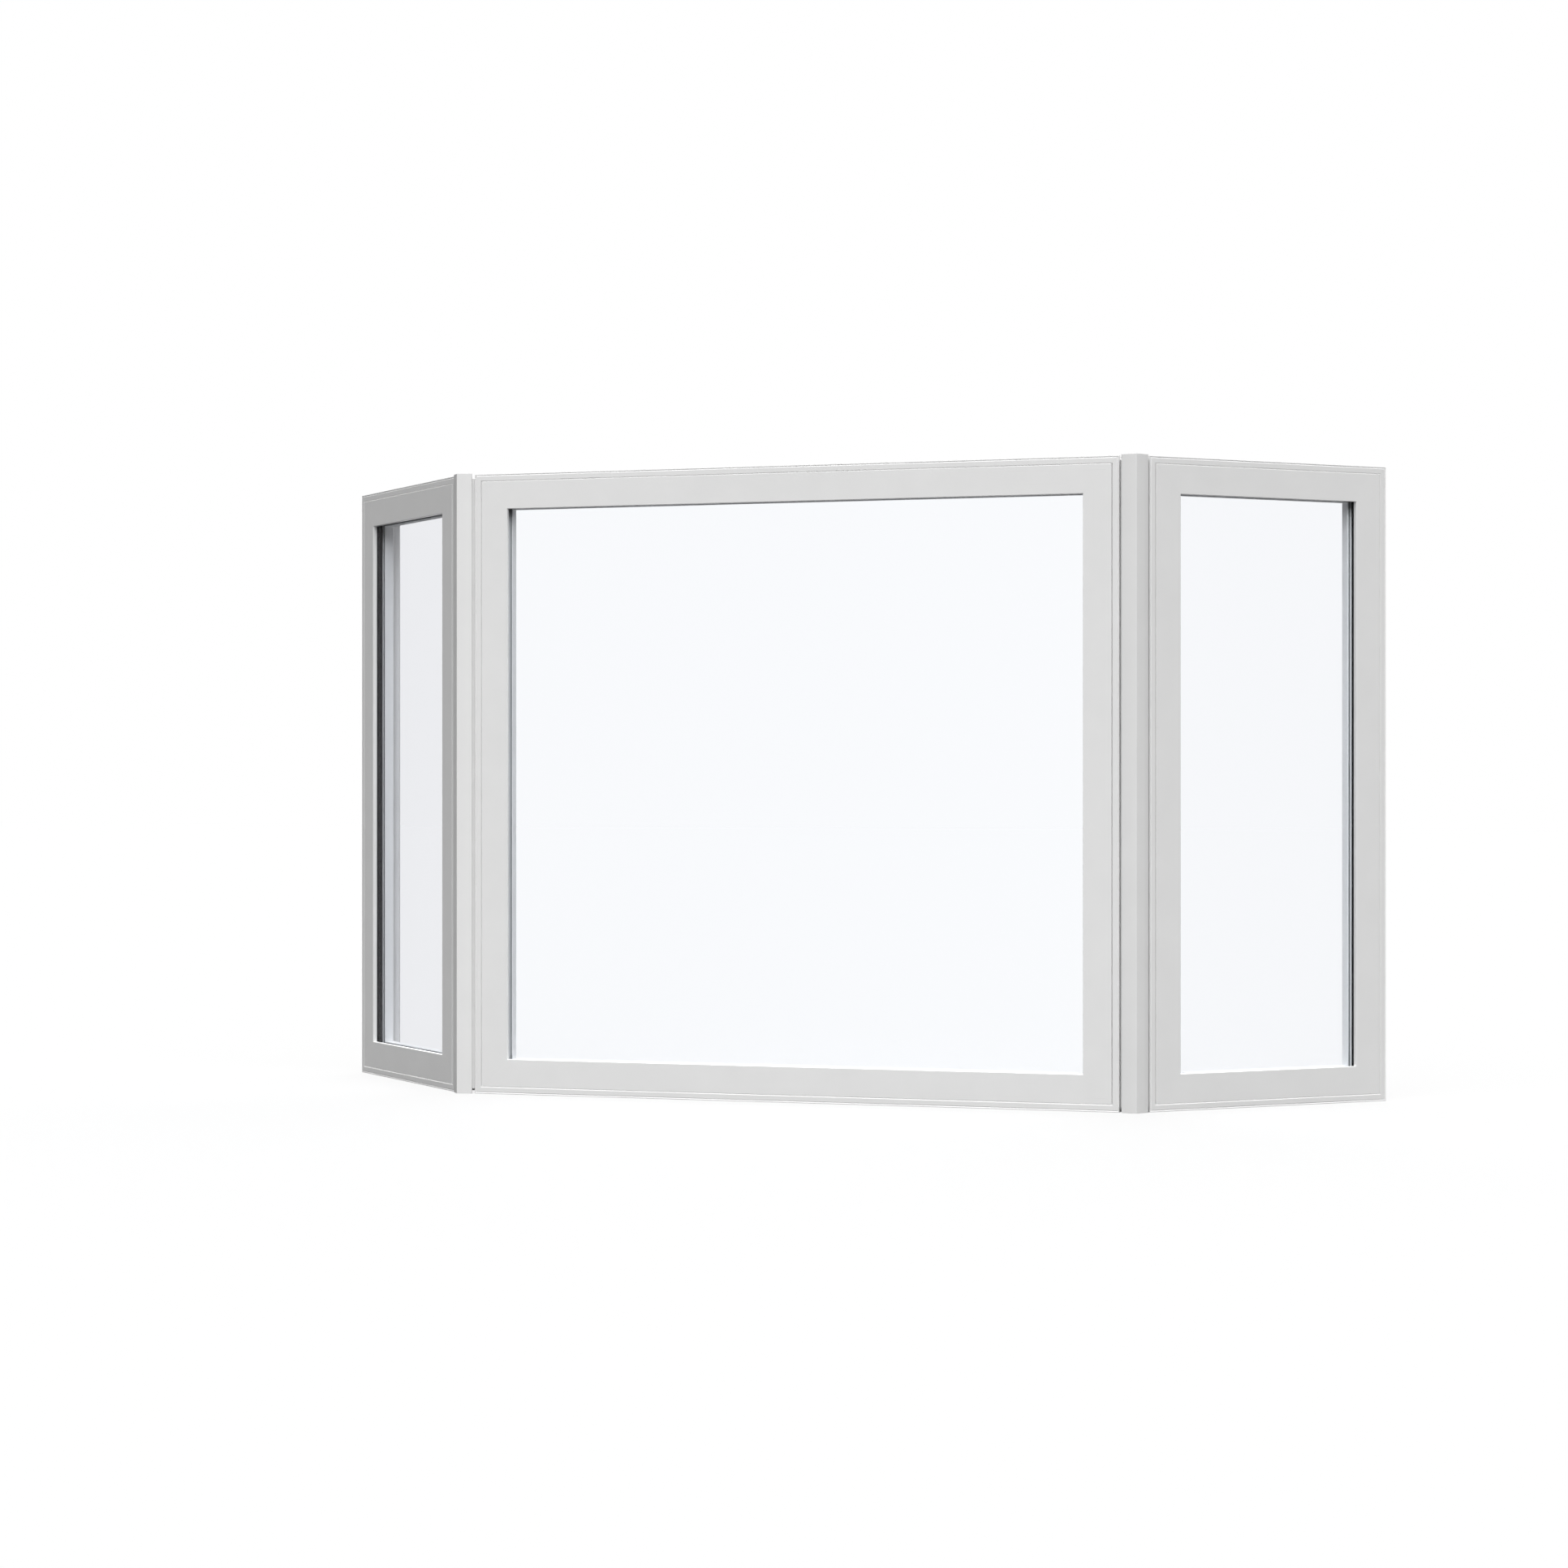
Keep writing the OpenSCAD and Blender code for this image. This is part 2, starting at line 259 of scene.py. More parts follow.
weld_gap = 0.045 * MM       # what a welded bar's end stands back from its mitre
cut_gap = 0.2 * MM          # the same for a bead, which is cut and clipped in
print(f"frame {depth:.4f} deep, sash face {sash_edge:.4f} to {sight:.4f}, glass at {glass_front:.4f}")

# %% [markdown]
# ## White plastic
# Window profile is white plastic with a satin skin. Close up it is not quite even: it
# mottles a little, has a fine orange peel from the die, and carries long streaks that run
# the way the bar was pushed out. The mottle and the peel come from Object coordinates. The
# streaks come from the skin's own UV map, stretched until the noise becomes lines.

# %% Helpers for materials
def empty_tree(owner):
    """Short ways to add and join nodes in an emptied node tree. Add(kind, name=value) sets
    the socket of that name, or the node's own setting if it has no such socket."""
    owner.use_nodes = True
    tree = owner.node_tree
    tree.nodes.clear()

    def add(kind, **settings):
        node = tree.nodes.new("ShaderNode" + kind)
        for key, value in settings.items():
            if key in node.inputs:
                node.inputs[key].default_value = value
            else:
                setattr(node, key, value)
        return node

    return add, tree.links.new


def new_material(name):
    """An empty material with its output node, and its ways to add and join nodes."""
    material = bpy.data.materials.new(name)
    add, join = empty_tree(material)
    return material, add, join, add("OutputMaterial")


def noise(add, join, coordinates, scale, detail=3.0):
    """A noise pattern at so many waves a metre."""
    pattern = add("TexNoise", Scale=scale, Detail=detail)
    join(coordinates, pattern.inputs["Vector"])
    return pattern.outputs["Fac"]


def levels(add, join, value, low, high):
    """Stretches the middle of a noise pattern over low to high."""
    ramp = add("MapRange")
    join(value, ramp.inputs["Value"])
    for key, number in (("From Min", 0.3), ("From Max", 0.7), ("To Min", low), ("To Max", high)):
        ramp.inputs[key].default_value = number
    return ramp.outputs["Result"]


def bump(add, join, height, distance, strength, below=None):
    """A bump of so many metres, laid over another one if it is given."""
    relief = add("Bump", Distance=distance, Strength=strength)
    join(height, relief.inputs["Height"])
    if below is not None:
        join(below, relief.inputs["Normal"])
    return relief.outputs["Normal"]


def mottled(add, join, value, dark, light):
    """A colour that drifts between dark and light with a pattern."""
    blend = add("Mix", data_type="RGBA")
    join(value, blend.inputs["Factor"])
    blend.inputs["A"].default_value = (*dark, 1)
    blend.inputs["B"].default_value = (*light, 1)
    return blend.outputs["Result"]


# %% The white profile finish
MOTTLE, PEEL = 14.0, 420.0       # waves a metre
STREAKS = (1.3, 520.0, 1.0)      # waves a metre along the bar and round it


def white_profile(name, tone, roughness, streaked=True):
    """Satin white plastic: mottle, orange peel and, on a bar, streaks along its length. The
    roughness drifts by a few hundredths with the streaks, or with the peel without them."""
    material, add, join, output = new_material(name)
    shader = add("BsdfPrincipled", IOR=1.52)
    place_on_piece = add("TexCoord").outputs["Object"]
    mottle = noise(add, join, place_on_piece, MOTTLE)
    peel = noise(add, join, place_on_piece, PEEL, 2.0)
    light = np.array(tone)
    colour = mottled(add, join, levels(add, join, mottle, 0.0, 1.0), light * 0.975, light)
    join(colour, shader.inputs["Base Color"])
    normal = bump(add, join, peel, 0.012 * MM, 0.5)
    gloss = peel
    if streaked:
        stretch = add("Mapping")
        stretch.inputs["Scale"].default_value = STREAKS
        join(add("UVMap", uv_map="profile").outputs["UV"], stretch.inputs["Vector"])
        gloss = noise(add, join, stretch.outputs["Vector"], 1.0, 4.0)
        normal = bump(add, join, gloss, 0.02 * MM, 0.45, normal)
    join(levels(add, join, gloss, roughness - 0.05, roughness + 0.07), shader.inputs["Roughness"])
    join(normal, shader.inputs["Normal"])
    join(shader.outputs["BSDF"], output.inputs["Surface"])
    return material


frame_white = white_profile("frame white", (0.800, 0.800, 0.798), 0.34)
sash_white = white_profile("sash white", (0.806, 0.806, 0.804), 0.32)
post_white = white_profile("post white", (0.800, 0.800, 0.798), 0.36)
plain_white = white_profile("plain white", (0.800, 0.800, 0.798), 0.38, streaked=False)
print("white finishes made")

# %% [markdown]
# ## Frame and sash bars
# Each frame is four bars, cut at 45 degrees and welded. So a bar is a section carried
# along a straight path whose ends slope: a point of the section that lies s in from the
# outside edge runs from s to length - s. The welds are cleaned off, but a fine line stays
# at each mitre, and here each end stands back by a hair to leave it.

# %% Carrying a section along one side of a frame
def bar(unit, side, section, slack):
    """The two end rings of a mitred bar. A section point (depth, s) runs from s + slack to
    length - s - slack along its side, and s is measured from that side's outside edge."""
    into, s = section.T
    length = unit["h"] if side in ("left", "right") else unit["w"]
    along = np.stack([s + slack, length - s - slack])
    s = np.broadcast_to(s, along.shape)
    x, z = {"sill": (along, s), "head": (along, unit["h"] - s),
            "left": (s, along), "right": (unit["w"] - s, along)}[side]
    return place(unit, x, into, z)


def attach(piece, material, slot, *nodes):
    """Gives a piece its finish and its body, and hides the CAD nodes that it stands for."""
    piece.data.materials.append(material)
    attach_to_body(piece, "root")
    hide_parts(*nodes)
    return piece


# %% [markdown]
# ## The frame's section and the sash's
# The frame's section has a rim and a fine shadow groove at its outside edge, a lip, and an
# open step down to the sash. Behind them are the inner stop and, round the outside, the
# channel for wall fixings. The floor of the step slopes outwards, so that rain runs off it.
# The sash's section is a flange that laps over the frame, and a body with a rebate for the
# glass. Each is one outline of (depth, distance in) pairs with a radius for each corner.
# Two crossed boxes would be quicker, but they would show neither grooves nor roundings.

# %% The two sections
frame_radii = np.array([0.5, 0.3, 0.25, 0.35, 0.3, 0.3, 0.4, 0.4, 0.4,
                        0.5, 0.8, 0.8, 0.8, 0.4, 0.3, 0.3, 0.4]) * MM
frame_section = rounded(
    [(0, 0), (0, rim_w), (groove_d, rim_w + groove_w / 2), (0, rim_w + groove_w), (0, lip_w),
     (slope_d, slope_edge), (shelf_depth, slope_edge), (shelf_depth, leg_w), (stop_front, leg_w),
     (stop_front, stop_w), (depth - stop_chamfer, stop_w), (depth, stop_w - stop_chamfer), (depth, 0),
     (channel_back, 0), (channel_back, channel_d), (channel_front, channel_d), (channel_front, 0)],
    frame_radii)
sash_radii = np.array([0.3, 1.1, 0.25, 0.3, 0.5, 0.8, 0.3, 0.4, 0.3]) * MM
sash_section = rounded(
    [(0, sash_edge + sash_chamfer), (0, sight), (glass_front, sight), (glass_front, rebate),
     (sash_back, rebate), (sash_back, body_edge), (flange_t, body_edge), (flange_t, sash_edge),
     (sash_chamfer, sash_edge)],
    sash_radii)
print(f"{len(frame_section)} points round the frame's section, {len(sash_section)} round the sash's")

# %% [markdown]
# ## The welded bars
# Every frame is closed by the same four cuts, so one loop makes all of them. Each bar stays
# a piece of its own, as it is before welding, and takes the place of its own CAD node.

# %% Twelve frame bars and twelve sash bars
FRAME_SIDES = {"head": "head", "sill": "sill", "left": "left_jamb", "right": "right_jamb"}
SASH_SIDES = {"head": "top_rail", "sill": "bottom_rail", "left": "left_stile", "right": "right_stile"}
for name, unit in units.items():
    for side in FRAME_SIDES:
        frame_node = f"{name}_frame_{FRAME_SIDES[side]}"
        piece = skin(frame_node + "_bar", [bar(unit, side, frame_section, weld_gap)])
        attach(piece, frame_white, "frame_white", frame_node)
        sash_node = f"{name}_sash_{SASH_SIDES[side]}"
        piece = skin(sash_node + "_bar", [bar(unit, side, sash_section, weld_gap)])
        attach(piece, sash_white, "sash_white", sash_node)
print("24 bars made")

# %% [markdown]
# ## Glazing beads
# A bead clips into the sash from the room and holds the glass. Its edge towards the glass
# is chamfered. The four beads of a frame are one piece of the model, with an open hairline
# at each mitre, since beads are cut and clipped in, not welded. A thin foot reaches under
# the rubber to the glass.

# %% Beads
wedge_foot = sight - 3.9 * MM        # where the bead's foot ends and the rubber begins
foot_front = glass_back + 0.1 * MM   # the foot stops just clear of the glass
bead_radii = np.array([0.3, 0.2, 0.2, 0.5, 1.0, 1.0, 0.5]) * MM
bead_section = rounded(
    [(foot_front, rebate), (foot_front, wedge_foot), (bead_front, wedge_foot), (bead_front, bead_edge),
     (sash_back - bead_chamfer, bead_edge), (sash_back, bead_edge - bead_chamfer), (sash_back, rebate)],
    bead_radii)
for name, unit in units.items():
    bars = [bar(unit, side, bead_section, cut_gap) for side in FRAME_SIDES]
    piece = skin(f"{name}_bead_bars", bars)
    attach(piece, sash_white, "sash_white", f"{name}_glazing_beads")
print("beads made")

# %% [markdown]
# ## Rubber
# Two rubber strips run round each frame. A wedge presses the glass against its seat from
# behind, and a soft bulb seals the sash against the inner stop. Each is an outline carried
# round a rectangle, so only the four corner rings are needed and the last joins the first.

# %% Rubber finish and the two strips
def matt_dark(name, dark, light, roughness, grain, shine):
    """A matt dark finish: a fine grain that moves colour, roughness and relief together."""
    material, add, join, output = new_material(name)
    shader = add("BsdfPrincipled", IOR=1.48)
    shader.inputs["Specular IOR Level"].default_value = shine
    pattern = noise(add, join, add("TexCoord").outputs["Object"], grain, 4.0)
    join(mottled(add, join, levels(add, join, pattern, 0.0, 1.0), dark, light), shader.inputs["Base Color"])
    join(levels(add, join, pattern, roughness - 0.08, roughness + 0.08), shader.inputs["Roughness"])
    join(bump(add, join, pattern, 0.05 * MM, 0.4), shader.inputs["Normal"])
    join(shader.outputs["BSDF"], output.inputs["Surface"])
    return material


def strip(unit, section):
    """Four corner rings of a section carried round a rectangle, s in from its outside edge."""
    into, s = section.T
    x = np.stack([s, unit["w"] - s, unit["w"] - s, s])
    z = np.stack([s, s, unit["h"] - s, unit["h"] - s])
    return place(unit, x, into, z)


grey_rubber = matt_dark("grey rubber", (0.05, 0.052, 0.056), (0.07, 0.072, 0.077), 0.62, 900.0, 0.4)
wedge_start = wedge_foot + 0.1 * MM  # the wedge begins just clear of the bead's foot
wedge_edge = sight - 2.1 * MM        # where its face on the glass ends
wedge_taper = 0.5 * MM               # how much shorter its face on the bead is
wedge_radius = 0.25 * MM
wedge = rounded(
    [(glass_back, wedge_start), (glass_back, wedge_edge),
     (bead_front, wedge_edge - wedge_taper), (bead_front, wedge_start)],
    wedge_radius)
bulb_w = 7 * MM
bulb_radius = 0.45 * (stop_front - sash_back)    # nearly half its thickness
bulb_lo, bulb_hi = seal_lo[2], seal_lo[2] + bulb_w
bulb = rounded(
    [(sash_back, bulb_lo), (sash_back, bulb_hi), (stop_front, bulb_hi), (stop_front, bulb_lo)],
    bulb_radius)
for name, unit in units.items():
    piece = skin(f"{name}_rubber_strips", [strip(unit, wedge), strip(unit, bulb)], loop=True)
    attach(piece, grey_rubber, "grey_rubber", f"{name}_gaskets")
print("rubber strips made")

# %% [markdown]
# ## Corner posts
# The cover of a corner post is a shallow nose: two faces that curve a little and meet in a
# soft ridge. From the ridge outwards a face's slope grows steadily, which makes it an arc
# of a circle. The cover, the hidden core and the trim in the room all stand upright, so
# they are outlines carried straight up, with the rims rounded off at both ends.

# %% Carrying an outline upwards
COLUMN_RIM = 0.4 * MM     # rounding at a column's two ends


def inset(outline, distance):
    """The outline moved inwards: each point goes against its normal, which is the direction
    between its two neighbours turned by 90 degrees."""
    tangent = unit_rows(np.roll(outline, -1, axis=0) - np.roll(outline, 1, axis=0))
    normal = np.stack([tangent[:, 1], -tangent[:, 0]], axis=1)
    following = np.roll(outline, -1, axis=0)
    area = (outline[:, 0] * following[:, 1] - following[:, 0] * outline[:, 1]).sum() / 2
    return outline - normal * np.sign(area) * distance


def rim(length, radius, steps=4):
    """Heights and insets of a column's rings. At each end they follow a quarter circle:
    height r (1 - cos t) and inset r (1 - sin t)."""
    t = np.linspace(0, np.pi / 2, steps)
    height, shrink = radius * (1 - np.cos(t)), radius * (1 - np.sin(t))
    return np.concatenate([height, (length - height)[::-1]]), np.concatenate([shrink, shrink[::-1]])


def column(axes, outline, foot, top):
    """An upright column over an outline, as rings from its foot to its top."""
    heights, insets = rim(top - foot, COLUMN_RIM)
    plan = np.stack([inset(outline, amount) for amount in insets])
    return place(axes, plan[..., 0], plan[..., 1], foot + heights[:, None])


# %% [markdown]
# ## Covers of the posts
# A cover is a thin face with a clip behind it. The clip grips the core, and it stops short
# of the face at both ends, which leaves a small open notch beside the post. Face and clip
# are two closed shapes in one piece, since each is a plain column and they never part.

# %% Post covers
RIDGE_SLOPE = math.radians(29)    # the face's slope beside its ridge
EDGE_SLOPE = math.radians(37)     # and at its outer edge
FACE_RETURN = 2 * MM      # depth of the face's edges
FLARE = 7.3 * MM          # how far back the clip's sides flare
CLIP_SHORT = 9.3 * MM     # how far the clip behind the face stops short of each end
RIDGE_RADIUS = 1.6 * MM   # rounding of the ridge
EDGE_RADIUS = 0.7 * MM    # of the face's outer edges
BACK_RADIUS = 0.4 * MM    # of the edges behind them
CLIP_RADIUS = 0.5 * MM    # and of the clip's corners


def nose_radius(half_width):
    """R of the face's arc, so that x = R (sin a - sin a0) ends at the half width."""
    return half_width / (math.sin(EDGE_SLOPE) - math.sin(RIDGE_SLOPE))


def nose_face(half_width):
    """The face plate's outline, from its ridge at (0, 0): x = R (sin a - sin a0) and
    y = R (cos a0 - cos a), where the slope a grows from a0 at the ridge. Short returns
    close it behind."""
    slope, radius = np.linspace(RIDGE_SLOPE, EDGE_SLOPE, 13), nose_radius(half_width)
    curve = np.stack([radius * (np.sin(slope) - math.sin(RIDGE_SLOPE)),
                      radius * (math.cos(RIDGE_SLOPE) - np.cos(slope))], axis=1)
    back = curve[-1, 1] + FACE_RETURN
    outline = np.concatenate([curve, [(half_width, back), (-half_width, back)], curve[:0:-1] * (-1, 1)])
    radii = np.zeros(len(outline))
    radii[0] = RIDGE_RADIUS
    radii[[len(curve) - 1, len(curve) + 2]] = EDGE_RADIUS
    radii[[len(curve), len(curve) + 1]] = BACK_RADIUS
    return rounded(outline, radii)


def nose_clip(half_width, back):
    """The clip behind the face: its sides flare by half the joint's angle, then run back."""
    front = nose_radius(half_width) * (math.cos(RIDGE_SLOPE) - math.cos(EDGE_SLOPE)) + FACE_RETURN / 2
    narrow = half_width - FLARE * math.tan(half_turn)
    side = np.array([(narrow, front), (half_width, front + FLARE), (half_width, back)])
    return rounded(np.concatenate([side, side[::-1] * (-1, 1)]), CLIP_RADIUS)


for side in SIDES:
    node = f"{side}_post_cover"
    joint = measured_axes(node)
    width, back, height = span(node_points(node), joint)[1]
    joint["zero"] = joint["zero"] + (width / 2, 0, 0)
    shapes = [column(joint, nose_face(width / 2), 0, height),
              column(joint, nose_clip(width / 2, back), CLIP_SHORT, height - CLIP_SHORT)]
    attach(skin(f"{side}_post_nose", shapes), post_white, "post_white", node)
    print(f"{side} cover: {width:.4f} wide, {back:.4f} deep, {height:.4f} high")

# %% [markdown]
# ## Trims of the joints
# In the room a trim bent to the joint's angle closes each joint. It is one chevron carried
# upwards, and its leg and thickness follow from the CAD node's width and depth: with the
# half turn a, the leg is w / (2 cos a), and the thickness (d - leg sin a) / cos a.

# %% Trims in the room
trim_radii = np.array([0.3, 0.5, 1.0, 3.0, 1.0, 0.5]) * MM
for side in SIDES:
    node = f"{side}_post_inner_trim"
    joint = measured_axes(node)
    width, back, height = span(node_points(node), joint)[1]
    joint["zero"] = joint["zero"] + (width / 2, 0, 0)
    leg = width / 2 / math.cos(half_turn)
    thick = (back - leg * math.sin(half_turn)) / math.cos(half_turn)
    tip = np.array([width / 2, leg * math.sin(half_turn)])
    out = thick * np.array([math.sin(half_turn), math.cos(half_turn)])
    outer_tip = tip + out * (-1, 1)
    chevron = rounded(
        [(0, 0), tip, outer_tip, (0, thick / math.cos(half_turn)), outer_tip * (-1, 1), tip * (-1, 1)],
        trim_radii)
    piece = skin(f"{side}_post_trim", [column(joint, chevron, 0, height)])
    attach(piece, post_white, "post_white", node)
print("trims made")

# %% [markdown]
# ## Handles
# Each casement has a lever handle on the room side. It could be boxes and cylinders, but
# a cast lever has no joins: its section changes from the round neck to the flat grip as it
# sweeps round the bend. That is one surface: a superellipse whose size and squareness
# change along a path made of a straight, a quarter circle and another straight.

# %% Powder coat
def powder_coat(name, tone):
    """White powder coat: a fine even pebble with a semi-gloss."""
    material, add, join, output = new_material(name)
    shader = add("BsdfPrincipled", IOR=1.5)
    shader.inputs["Coat Weight"].default_value = 0.15
    pebble = noise(add, join, add("TexCoord").outputs["Object"], 1500.0, 2.0)
    light = np.array(tone)
    colour = mottled(add, join, levels(add, join, pebble, 0.0, 1.0), light * 0.97, light)
    join(colour, shader.inputs["Base Color"])
    join(levels(add, join, pebble, 0.3, 0.42), shader.inputs["Roughness"])
    join(bump(add, join, pebble, 0.03 * MM, 0.6), shader.inputs["Normal"])
    join(shader.outputs["BSDF"], output.inputs["Surface"])
    return material


handle_white = powder_coat("handle white", (0.78, 0.78, 0.775))

# %% [markdown]
# ## Rose and lever
# The rose is the slim plate under the lever, with round ends and a rounded rim. The lever
# comes out of it as a round neck, bends down and ends in a rounded tip. Both are one piece,
# because the row has no joint for the lever: it hangs in its closed position.

# %% Rose and lever
PLATE_L, PLATE_W, PLATE_T = 96 * MM, 15 * MM, 6 * MM      # the rose
PLATE_RADIUS = 2.5 * MM                                   # rounding of its rim
NECK_D, LEVER_W, LEVER_T, BEND = 12 * MM, 17 * MM, 8 * MM, 7 * MM
SQUARENESS = 1.2          # what the power n of the section gains from neck to grip
TIP_LEAST = 0.003         # keeps the last ring from closing to a point


def rose(axes, x, front, z):
    """The plate under the handle: a slot shape, carried from the sash towards the room and
    drawn in along a quarter circle at its rim."""
    t = np.linspace(0, 2 * np.pi, 64, endpoint=False)
    middle = (PLATE_L - PLATE_W) / 2 * np.sign(np.sin(t))
    outline = np.stack([PLATE_W / 2 * np.cos(t), PLATE_W / 2 * np.sin(t) + middle], axis=1)
    rounding = np.linspace(0, np.pi / 2, 6)
    depths = np.concatenate([[0], PLATE_T - PLATE_RADIUS * (1 - np.sin(rounding))])
    shrink = np.concatenate([[0], PLATE_RADIUS * (1 - np.cos(rounding))])
    rings = np.stack([inset(outline, amount) for amount in shrink])
    return place(axes, x + rings[..., 0], front + depths[:, None], z + rings[..., 1])


def lever(axes, x, front, reach, z, drop):
    """A superellipse carried out from the rose, round a quarter circle and down. Its points
    are a sgn(cos t) |cos t|^(2/n) across and b sgn(sin t) |sin t|^(2/n) through. The width
    grows along the grip and ends in a half circle, and n grows from 2 round the bend."""
    straight = np.linspace(front, reach - BEND, 4)[:-1]
    angle = np.linspace(0, np.pi / 2, 12)
    fall = np.linspace(BEND, drop, 26)[1:]
    zeros, ones = np.zeros(len(straight)), np.ones(len(fall))
    into = np.concatenate([straight, reach - BEND + BEND * np.sin(angle), ones * reach])
    down = np.concatenate([zeros, BEND * (1 - np.cos(angle)), fall])
    heading = np.concatenate([zeros, angle, ones * np.pi / 2])
    done = np.clip(down / drop, 0, 1)
    soft = np.clip(heading / (np.pi / 2), 0, 1)
    past = ((down - drop) / (LEVER_W / 2) + 1).clip(0)
    end = np.sqrt(np.clip(1 - past ** 2, TIP_LEAST, 1))
    half_w = (NECK_D + (LEVER_W - NECK_D) * done) / 2 * end
    half_t = (NECK_D + (LEVER_T - NECK_D) * soft) / 2 * np.sqrt(end)
    power = (2 / (2 + SQUARENESS * soft))[:, None]
    t = np.linspace(0, 2 * np.pi, 40, endpoint=False)
    sideways = half_w[:, None] * np.sign(np.cos(t)) * np.abs(np.cos(t)) ** power
    through = half_t[:, None] * np.sign(np.sin(t)) * np.abs(np.sin(t)) ** power
    depths = into[:, None] + through * np.sin(heading)[:, None]
    heights = z - down[:, None] + through * np.cos(heading)[:, None]
    return place(axes, x + sideways, depths, heights)


for side in SIDES:
    unit, node = units[side], f"{side}_handle"
    low, high = span(node_points(node), unit)
    x, z = (low[0] + high[0]) / 2, high[2] - PLATE_L / 2
    reach = high[1] - LEVER_T / 2
    shapes = [rose(unit, x, low[1], z), lever(unit, x, low[1] + PLATE_T, reach, z, z - low[2])]
    piece = skin(f"{side}_lever_handle", shapes, sharp=50.0)
    attach(piece, handle_white, "handle_white", node)
print("handles made")

# %% [markdown]
# ## Glass, spacer and post core
# These CAD pieces already have their real shape, so they stay, and only take a finish. The
# glass is clear float glass with the faint cool tint of its thickness. Light that makes
# shadows would be blocked by a refracting pane, so for shadow rays alone the shader turns
# into plain transparency. Real glass has an index of about 1.5. Here 1.08 is enough for
# its faint gloss, and it keeps what lies behind the panes' edges in its place. The bar
# between the panes is a matt black warm-edge spacer.

# %% Clear glass
def clear_glass(name, straight, slanting, shadow_tint):
    """Glass for what is seen, and plain transparency for shadow rays. Its tint goes from
    straight to slanting as the line of sight through the pane grows longer."""
    material, add, join, output = new_material(name)
    shader = add("BsdfPrincipled", IOR=1.08, Roughness=0.0)
    facing = add("LayerWeight", Blend=0.5).outputs["Facing"]
    join(mottled(add, join, facing, straight, slanting), shader.inputs["Base Color"])
    shader.inputs["Transmission Weight"].default_value = 1.0
    open_to_light = add("BsdfTransparent")
    open_to_light.inputs["Color"].default_value = (*shadow_tint, 1)
    which = add("MixShader")
    join(add("LightPath").outputs["Is Shadow Ray"], which.inputs["Fac"])
    join(shader.outputs["BSDF"], which.inputs[1])
    join(open_to_light.outputs["BSDF"], which.inputs[2])
    join(which.outputs["Shader"], output.inputs["Surface"])
    return material


glass = clear_glass("clear glass", (0.978, 0.985, 0.996), (0.89, 0.892, 0.908), (0.95, 0.96, 0.97))
spacer = matt_dark("black spacer", (0.010, 0.010, 0.011), (0.016, 0.016, 0.018), 0.7, 600.0, 0.12)


def refinish(node, material):
    """Puts one finish on a CAD node that stays in sight."""
    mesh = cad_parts[node].data
    mesh.materials.clear()
    mesh.materials.append(material)


for name in UNITS:
    refinish(f"{name}_glass_panes", glass)
    refinish(f"{name}_spacer_bar", spacer)
for side in SIDES:
    refinish(f"{side}_post_core", plain_white)
print("kept nodes finished")

# %% [markdown]
# ## Floor and light
# The window stands on a pale floor in an even white studio. What the camera sees is white,
# but a white room all round would light every face alike and lose the form. So other rays
# meet a dim room, and a broad soft lamp near the camera gives each face its own tone.

# %% Which rays see the white studio
def seen_directly(add, join):
    """1 for the camera's own rays, also through glass, and 0 after any diffuse bounce: the
    greater of Is Camera Ray and Is Transmission Ray, less the diffuse depth, held at 0."""
    path = add("LightPath")
    looking = add("Math", operation="MAXIMUM")
    join(path.outputs["Is Camera Ray"], looking.inputs[0])
    join(path.outputs["Is Transmission Ray"], looking.inputs[1])
    direct = add("Math", operation="SUBTRACT", use_clamp=True)
    join(looking.outputs["Value"], direct.inputs[0])
    join(path.outputs["Diffuse Depth"], direct.inputs[1])
    return direct.outputs["Value"]


# %% Floor
FLOOR_BELOW = 0.5 * MM    # how far the floor lies under the window, so that they never touch


def pale_floor(size, thrown_back, paint, glow_strength, glow_share):
    """A wide floor that looks nearly white but throws back only part of the light. Seen
    directly it is part paint and part glow, and to all other rays it is a dull grey."""
    material, add, join, output = new_material("pale floor")
    dull = add("BsdfDiffuse")
    dull.inputs["Color"].default_value = (thrown_back, thrown_back, thrown_back, 1)
    pale = add("BsdfDiffuse")
    pale.inputs["Color"].default_value = (paint, paint, paint, 1)
    glow = add("Emission", Strength=glow_strength)
    bright = add("MixShader", Fac=glow_share)
    join(pale.outputs["BSDF"], bright.inputs[1])
    join(glow.outputs["Emission"], bright.inputs[2])
    which = add("MixShader")
    join(seen_directly(add, join), which.inputs["Fac"])
    join(dull.outputs["BSDF"], which.inputs[1])
    join(bright.outputs["Shader"], which.inputs[2])
    join(which.outputs["Shader"], output.inputs["Surface"])
    mesh = bpy.data.meshes.new("floor")
    reach, below = size / 2, -FLOOR_BELOW
    corners = [(-reach, -reach, below), (reach, -reach, below), (reach, reach, below), (-reach, reach, below)]
    mesh.from_pydata(corners, [], [(0, 1, 2, 3)])
    mesh.materials.append(material)
    floor = bpy.data.objects.new("floor", mesh)
    bpy.context.scene.collection.objects.link(floor)


pale_floor(80.0, thrown_back=0.115, paint=0.93, glow_strength=0.89, glow_share=0.885)
print("floor laid")

# %% [markdown]
# ## Lamps
# The key lamp is a wide one in front, a little to the right and above. Each of the three
# frames meets it at its own angle, and that sets their tones apart. Two lamps in the room
# light the backs. The sky lamp shines straight down, so it leaves every upright face alone
# and only whitens the steps that face up, as a bright sky does. It casts no shadow, because
# otherwise the frame's head would hide all of those steps from it. An image of a sky could
# do the same, but lamps are easier to set one by one.

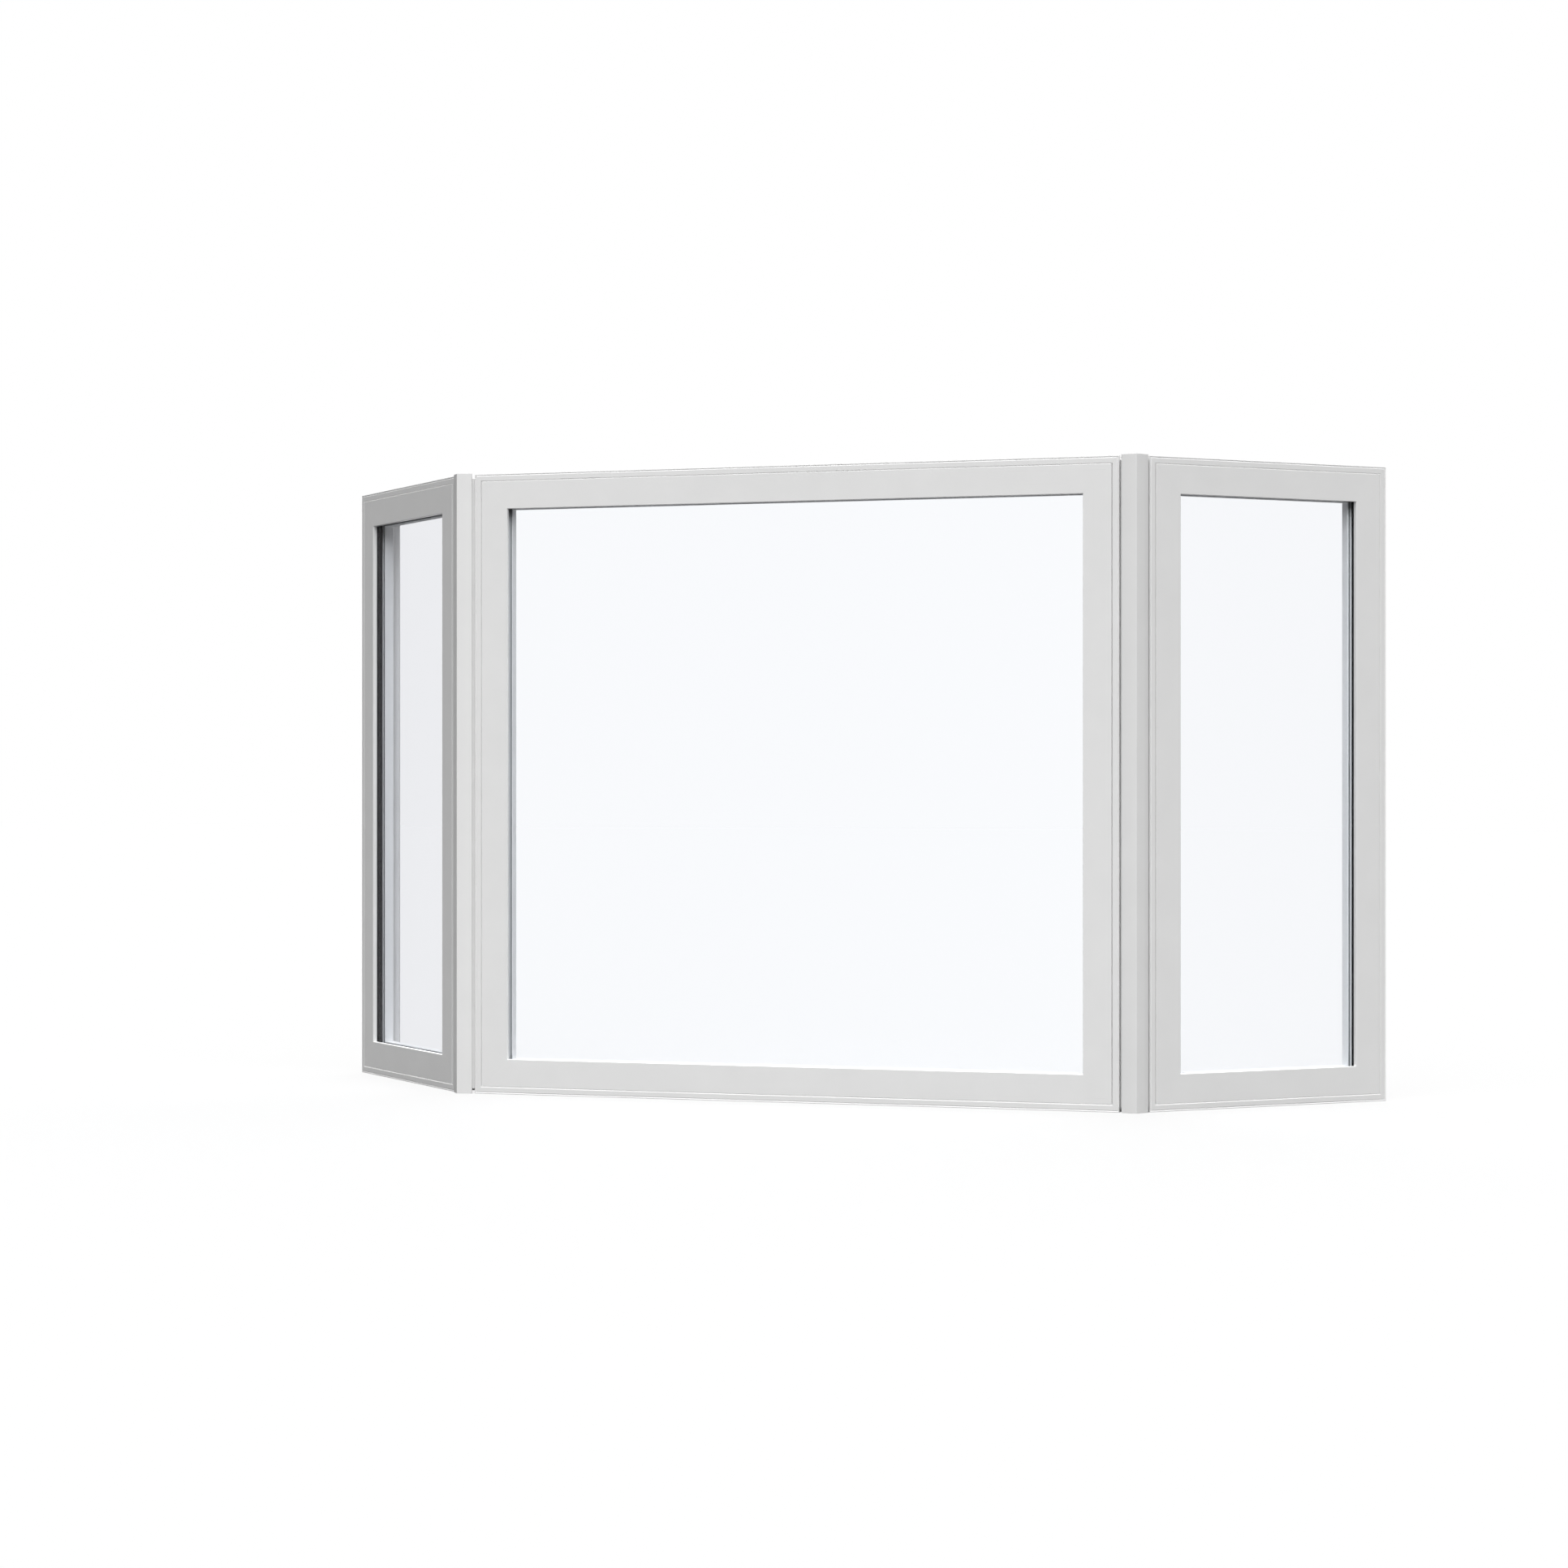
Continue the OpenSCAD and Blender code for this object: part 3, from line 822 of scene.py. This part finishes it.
# %% World and lamps
def studio(backdrop, room):
    """The backdrop's white where it is seen, and a dim grey for all other rays."""
    world = bpy.data.worlds.new("studio")
    bpy.context.scene.world = world
    add, join = empty_tree(world)
    dim = add("Background")
    dim.inputs["Color"].default_value = (room, room, room, 1)
    white = add("Background")
    white.inputs["Color"].default_value = (backdrop, backdrop, backdrop, 1)
    which = add("MixShader")
    join(seen_directly(add, join), which.inputs["Fac"])
    join(dim.outputs["Background"], which.inputs[1])
    join(white.outputs["Background"], which.inputs[2])
    join(which.outputs["Shader"], add("OutputWorld").inputs["Surface"])


def lamp(name, strength, side_angle, height_angle, spread, mirrored, shadows=True):
    """A sun whose disc is spread degrees wide. side_angle is measured to the right of
    straight ahead of the bay and height_angle up from the level, mirrored says whether
    gloss may reflect the lamp, and shadows whether it casts any."""
    data = bpy.data.lights.new(name, "SUN")
    data.energy = strength
    data.angle = math.radians(spread)
    data.use_shadow = shadows
    lamp_object = bpy.data.objects.new(name, data)
    lamp_object.rotation_euler = (math.radians(90 - height_angle), 0, math.radians(side_angle))
    lamp_object.visible_glossy = mirrored
    bpy.context.scene.collection.objects.link(lamp_object)


studio(1.0, 0.085)
lamp("key lamp", 3.72, side_angle=15, height_angle=48, spread=65, mirrored=True)
lamp("sky lamp", 1.4, side_angle=0, height_angle=90, spread=2, mirrored=False, shadows=False)
lamp("left room lamp", 1.75, side_angle=-155, height_angle=35, spread=50, mirrored=False)
lamp("right room lamp", 1.45, side_angle=155, height_angle=35, spread=50, mirrored=False)
print("studio and four lamps made")

# %% [markdown]
# ## Camera
# The camera is level and at half the window's height, so that upright edges stay upright.
# It stands to the right of the middle and turns back towards it. Its distances are counted
# in window heights, so it keeps its view if the model's size changes.

# %% Camera
CAMERA_RIGHT, CAMERA_AHEAD = 1.738, 5.269    # in window heights
CAMERA_TURN, CAMERA_FIELD = math.radians(18.309), math.radians(25.0)

camera_data = bpy.data.cameras.new("camera")
camera_data.angle = CAMERA_FIELD
camera = bpy.data.objects.new("camera", camera_data)
bpy.context.scene.collection.objects.link(camera)
height, front = centre["h"], centre["zero"][1]
camera.location = (CAMERA_RIGHT * height, front - CAMERA_AHEAD * height, height / 2)
camera.rotation_euler = (math.radians(90), 0, CAMERA_TURN)
bpy.context.scene.camera = camera
bpy.context.scene.view_settings.view_transform = "Standard"
print(f"camera at {[round(v, 3) for v in camera.location]}, lens {camera_data.lens:.2f} mm")
